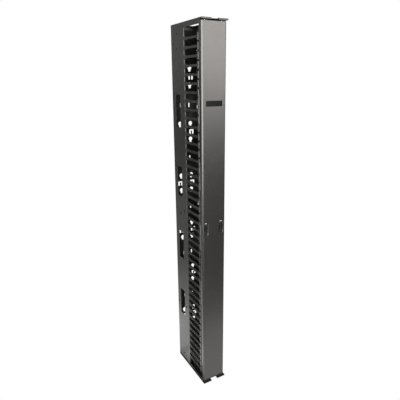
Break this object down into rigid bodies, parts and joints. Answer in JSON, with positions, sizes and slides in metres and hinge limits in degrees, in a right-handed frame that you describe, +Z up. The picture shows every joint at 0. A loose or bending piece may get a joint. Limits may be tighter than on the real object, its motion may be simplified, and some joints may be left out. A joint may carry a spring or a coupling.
{
  "type": "vertical cable manager",
  "caption": "Tall narrow rack cable channel with slotted finger sides, punched back panel and a full-height front door that opens from either edge.",
  "frame": {"origin": "on the floor, under the centre of the object's bounding box", "axes": "+X to the right seen from the front, +Y from the door towards the back panel, +Z up"},
  "size_m": [0.1524, 0.335, 2.118],
  "materials": {
    "frame_steel": "satin black powder coat",
    "door_steel": "satin black powder coat, smoother than the frame",
    "finger_plastic": "black moulded, fine grain",
    "keeper_plastic": "black moulded",
    "cup_plastic": "black moulded, slight sheen",
    "lever_plastic": "black moulded",
    "bush_plastic": "dark grey acetal",
    "rivet_dark": "coated over with the frame",
    "fastener_steel": "zinc plated",
    "bright_steel": "bright plated",
    "rod_steel": "zinc plated",
    "spring_steel": "bright wire",
    "label_black": "gloss black, bare"
  },
  "bodies": {
    "frame": {"left_side_panel": "frame_steel", "right_side_panel": "frame_steel", "back_panel": "frame_steel", "top_plate": "frame_steel", "bottom_plate": "frame_steel", "left_fingers_1": "finger_plastic", "left_fingers_2": "finger_plastic", "left_fingers_3": "finger_plastic", "left_fingers_4": "finger_plastic", "left_fingers_5": "finger_plastic", "right_fingers_1": "finger_plastic", "right_fingers_2": "finger_plastic", "right_fingers_3": "finger_plastic", "right_fingers_4": "finger_plastic", "right_fingers_5": "finger_plastic", "side_rivets": "rivet_dark", "back_rivets": "rivet_dark", "hinge_keepers": "keeper_plastic", "keeper_screws": "fastener_steel", "right_hinge_bushes": "bush_plastic"},
    "left_bushes": {"left_top_hinge_bush": "bush_plastic", "left_bottom_hinge_bush": "bush_plastic"},
    "door": {"door_panel": "door_steel", "door_stiffener": "door_steel", "door_top_cap": "keeper_plastic", "door_bottom_cap": "keeper_plastic", "cap_rivets": "fastener_steel", "label_plate": "label_black", "left_latch_cup": "cup_plastic", "right_latch_cup": "cup_plastic", "left_rod_guides": "keeper_plastic", "right_rod_guides": "keeper_plastic", "left_spring_brackets": "rod_steel", "right_spring_brackets": "rod_steel", "bracket_rivets": "fastener_steel", "left_lever_axle": "fastener_steel", "right_lever_axle": "fastener_steel", "left_top_spring": "spring_steel", "left_bottom_spring": "spring_steel", "right_top_spring": "spring_steel", "right_bottom_spring": "spring_steel"},
    "left_lever": {"left_latch_lever": "lever_plastic", "left_lever_cap": "bright_steel"},
    "left_rocker": {"left_rocker": "rod_steel"},
    "left_top_bolt": {"left_top_rod": "rod_steel", "left_top_pin": "bright_steel"},
    "left_bottom_bolt": {"left_bottom_rod": "rod_steel", "left_bottom_pin": "bright_steel"},
    "right_lever": {"right_latch_lever": "lever_plastic", "right_lever_cap": "bright_steel"},
    "right_rocker": {"right_rocker": "rod_steel"},
    "right_top_bolt": {"right_top_rod": "rod_steel", "right_top_pin": "bright_steel"},
    "right_bottom_bolt": {"right_bottom_rod": "rod_steel", "right_bottom_pin": "bright_steel"}
  },
  "joints": [
    {"name": "door_left_hinge", "type": "hinge", "parent": "frame", "child": "left_bushes", "pos_m": [-0.05, -0.1455, 1.059], "axis": [0, 0, 1], "range_deg": [-105, 0]},
    {"name": "door_right_hinge", "type": "hinge", "parent": "left_bushes", "child": "door", "pos_m": [0.05, -0.1455, 1.059], "axis": [0, 0, 1], "range_deg": [0, 105]},
    {"name": "left_top_bolt_slide", "type": "slide", "parent": "door", "child": "left_top_bolt", "axis": [0, 0, -1], "range_m": [0, 0.00617], "stiffness_N_per_m": 1200, "springref_m": -0.008, "deforming": ["left_top_spring"]},
    {"name": "left_bottom_bolt_slide", "type": "slide", "parent": "door", "child": "left_bottom_bolt", "axis": [0, 0, 1], "range_m": [0, 0.0062], "deforming": ["left_bottom_spring"]},
    {"name": "left_latch_lever_turn", "type": "hinge", "parent": "door", "child": "left_lever", "pos_m": [-0.05, -0.1505, 1.068], "axis": [-1, 0, 0], "range_deg": [0, 26.2]},
    {"name": "left_rocker_turn", "type": "hinge", "parent": "door", "child": "left_rocker", "pos_m": [-0.05, -0.1385, 1.028], "axis": [0, -1, 0], "range_deg": [0, 36.1]},
    {"name": "right_top_bolt_slide", "type": "slide", "parent": "door", "child": "right_top_bolt", "axis": [0, 0, -1], "range_m": [0, 0.00617], "stiffness_N_per_m": 1200, "springref_m": -0.008, "deforming": ["right_top_spring"]},
    {"name": "right_bottom_bolt_slide", "type": "slide", "parent": "door", "child": "right_bottom_bolt", "axis": [0, 0, 1], "range_m": [0, 0.0062], "deforming": ["right_bottom_spring"]},
    {"name": "right_latch_lever_turn", "type": "hinge", "parent": "door", "child": "right_lever", "pos_m": [0.05, -0.1505, 1.068], "axis": [-1, 0, 0], "range_deg": [0, 26.2]},
    {"name": "right_rocker_turn", "type": "hinge", "parent": "door", "child": "right_rocker", "pos_m": [0.05, -0.1385, 1.028], "axis": [0, 1, 0], "range_deg": [0, 36.1]}
  ],
  "couplings": [
    {"joint": "left_latch_lever_turn", "follows": "left_top_bolt_slide", "rad_per_m": 73.83},
    {"joint": "left_rocker_turn", "follows": "left_top_bolt_slide", "rad_per_m": 101.83},
    {"joint": "left_bottom_bolt_slide", "follows": "left_top_bolt_slide", "ratio": 1},
    {"joint": "right_latch_lever_turn", "follows": "right_top_bolt_slide", "rad_per_m": 73.83},
    {"joint": "right_rocker_turn", "follows": "right_top_bolt_slide", "rad_per_m": 101.83},
    {"joint": "right_bottom_bolt_slide", "follows": "right_top_bolt_slide", "ratio": 1}
  ]
}
